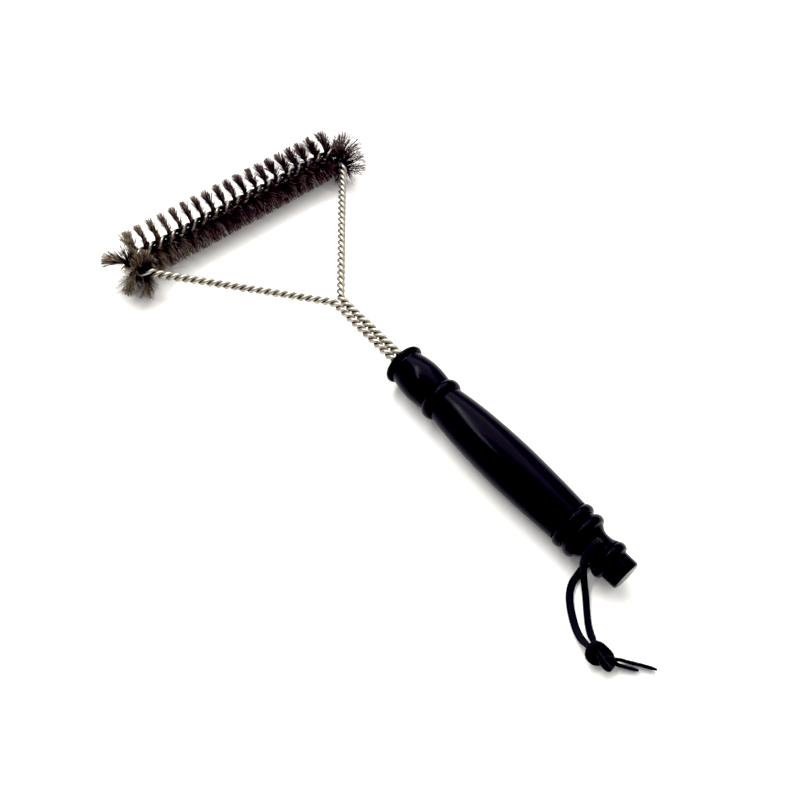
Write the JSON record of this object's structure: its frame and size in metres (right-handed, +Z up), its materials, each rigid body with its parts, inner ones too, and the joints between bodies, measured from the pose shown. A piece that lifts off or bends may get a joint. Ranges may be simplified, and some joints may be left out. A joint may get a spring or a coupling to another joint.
{
  "type": "grill cleaning brush",
  "caption": "Grill cleaning brush: a turned plastic handle, a twisted-wire frame bent into a triangle with bristles along its front side, and a knotted hanging cord.",
  "frame": {"origin": "centre of the brush's outline on the surface it lies on, measured without the hanging cord", "axes": "+X from the handle to the brush head, +Y along the bristled core, +Z up from the surface"},
  "size_m": [0.3399, 0.1672, 0.0291],
  "materials": {
    "handle_plastic": "black moulded plastic with a polished gloss",
    "wire_steel": "bright drawn stainless wire, warm grey",
    "bristle_steel": "fine dark brown oxidised wire with lighter cut tips",
    "cord_braid": "black flat braided polyester cord"
  },
  "bodies": {
    "root": {"handle": "handle_plastic", "wire_a": "wire_steel", "wire_b": "wire_steel", "bristle_tuft_01": "bristle_steel", "bristle_tuft_02": "bristle_steel", "bristle_tuft_03": "bristle_steel", "bristle_tuft_04": "bristle_steel", "bristle_tuft_05": "bristle_steel", "bristle_tuft_06": "bristle_steel", "bristle_tuft_07": "bristle_steel", "bristle_tuft_08": "bristle_steel", "bristle_tuft_09": "bristle_steel", "bristle_tuft_10": "bristle_steel", "bristle_tuft_11": "bristle_steel", "bristle_tuft_12": "bristle_steel", "bristle_tuft_13": "bristle_steel", "bristle_tuft_14": "bristle_steel", "bristle_tuft_15": "bristle_steel", "bristle_tuft_16": "bristle_steel", "bristle_tuft_17": "bristle_steel", "bristle_tuft_18": "bristle_steel", "bristle_tuft_19": "bristle_steel", "bristle_tuft_20": "bristle_steel", "bristle_tuft_21": "bristle_steel", "bristle_tuft_22": "bristle_steel", "bristle_tuft_23": "bristle_steel", "cord_loop": "cord_braid", "cord_knot": "cord_braid", "cord_tail_long": "cord_braid", "cord_tail_short": "cord_braid"}
  },
  "joints": []
}
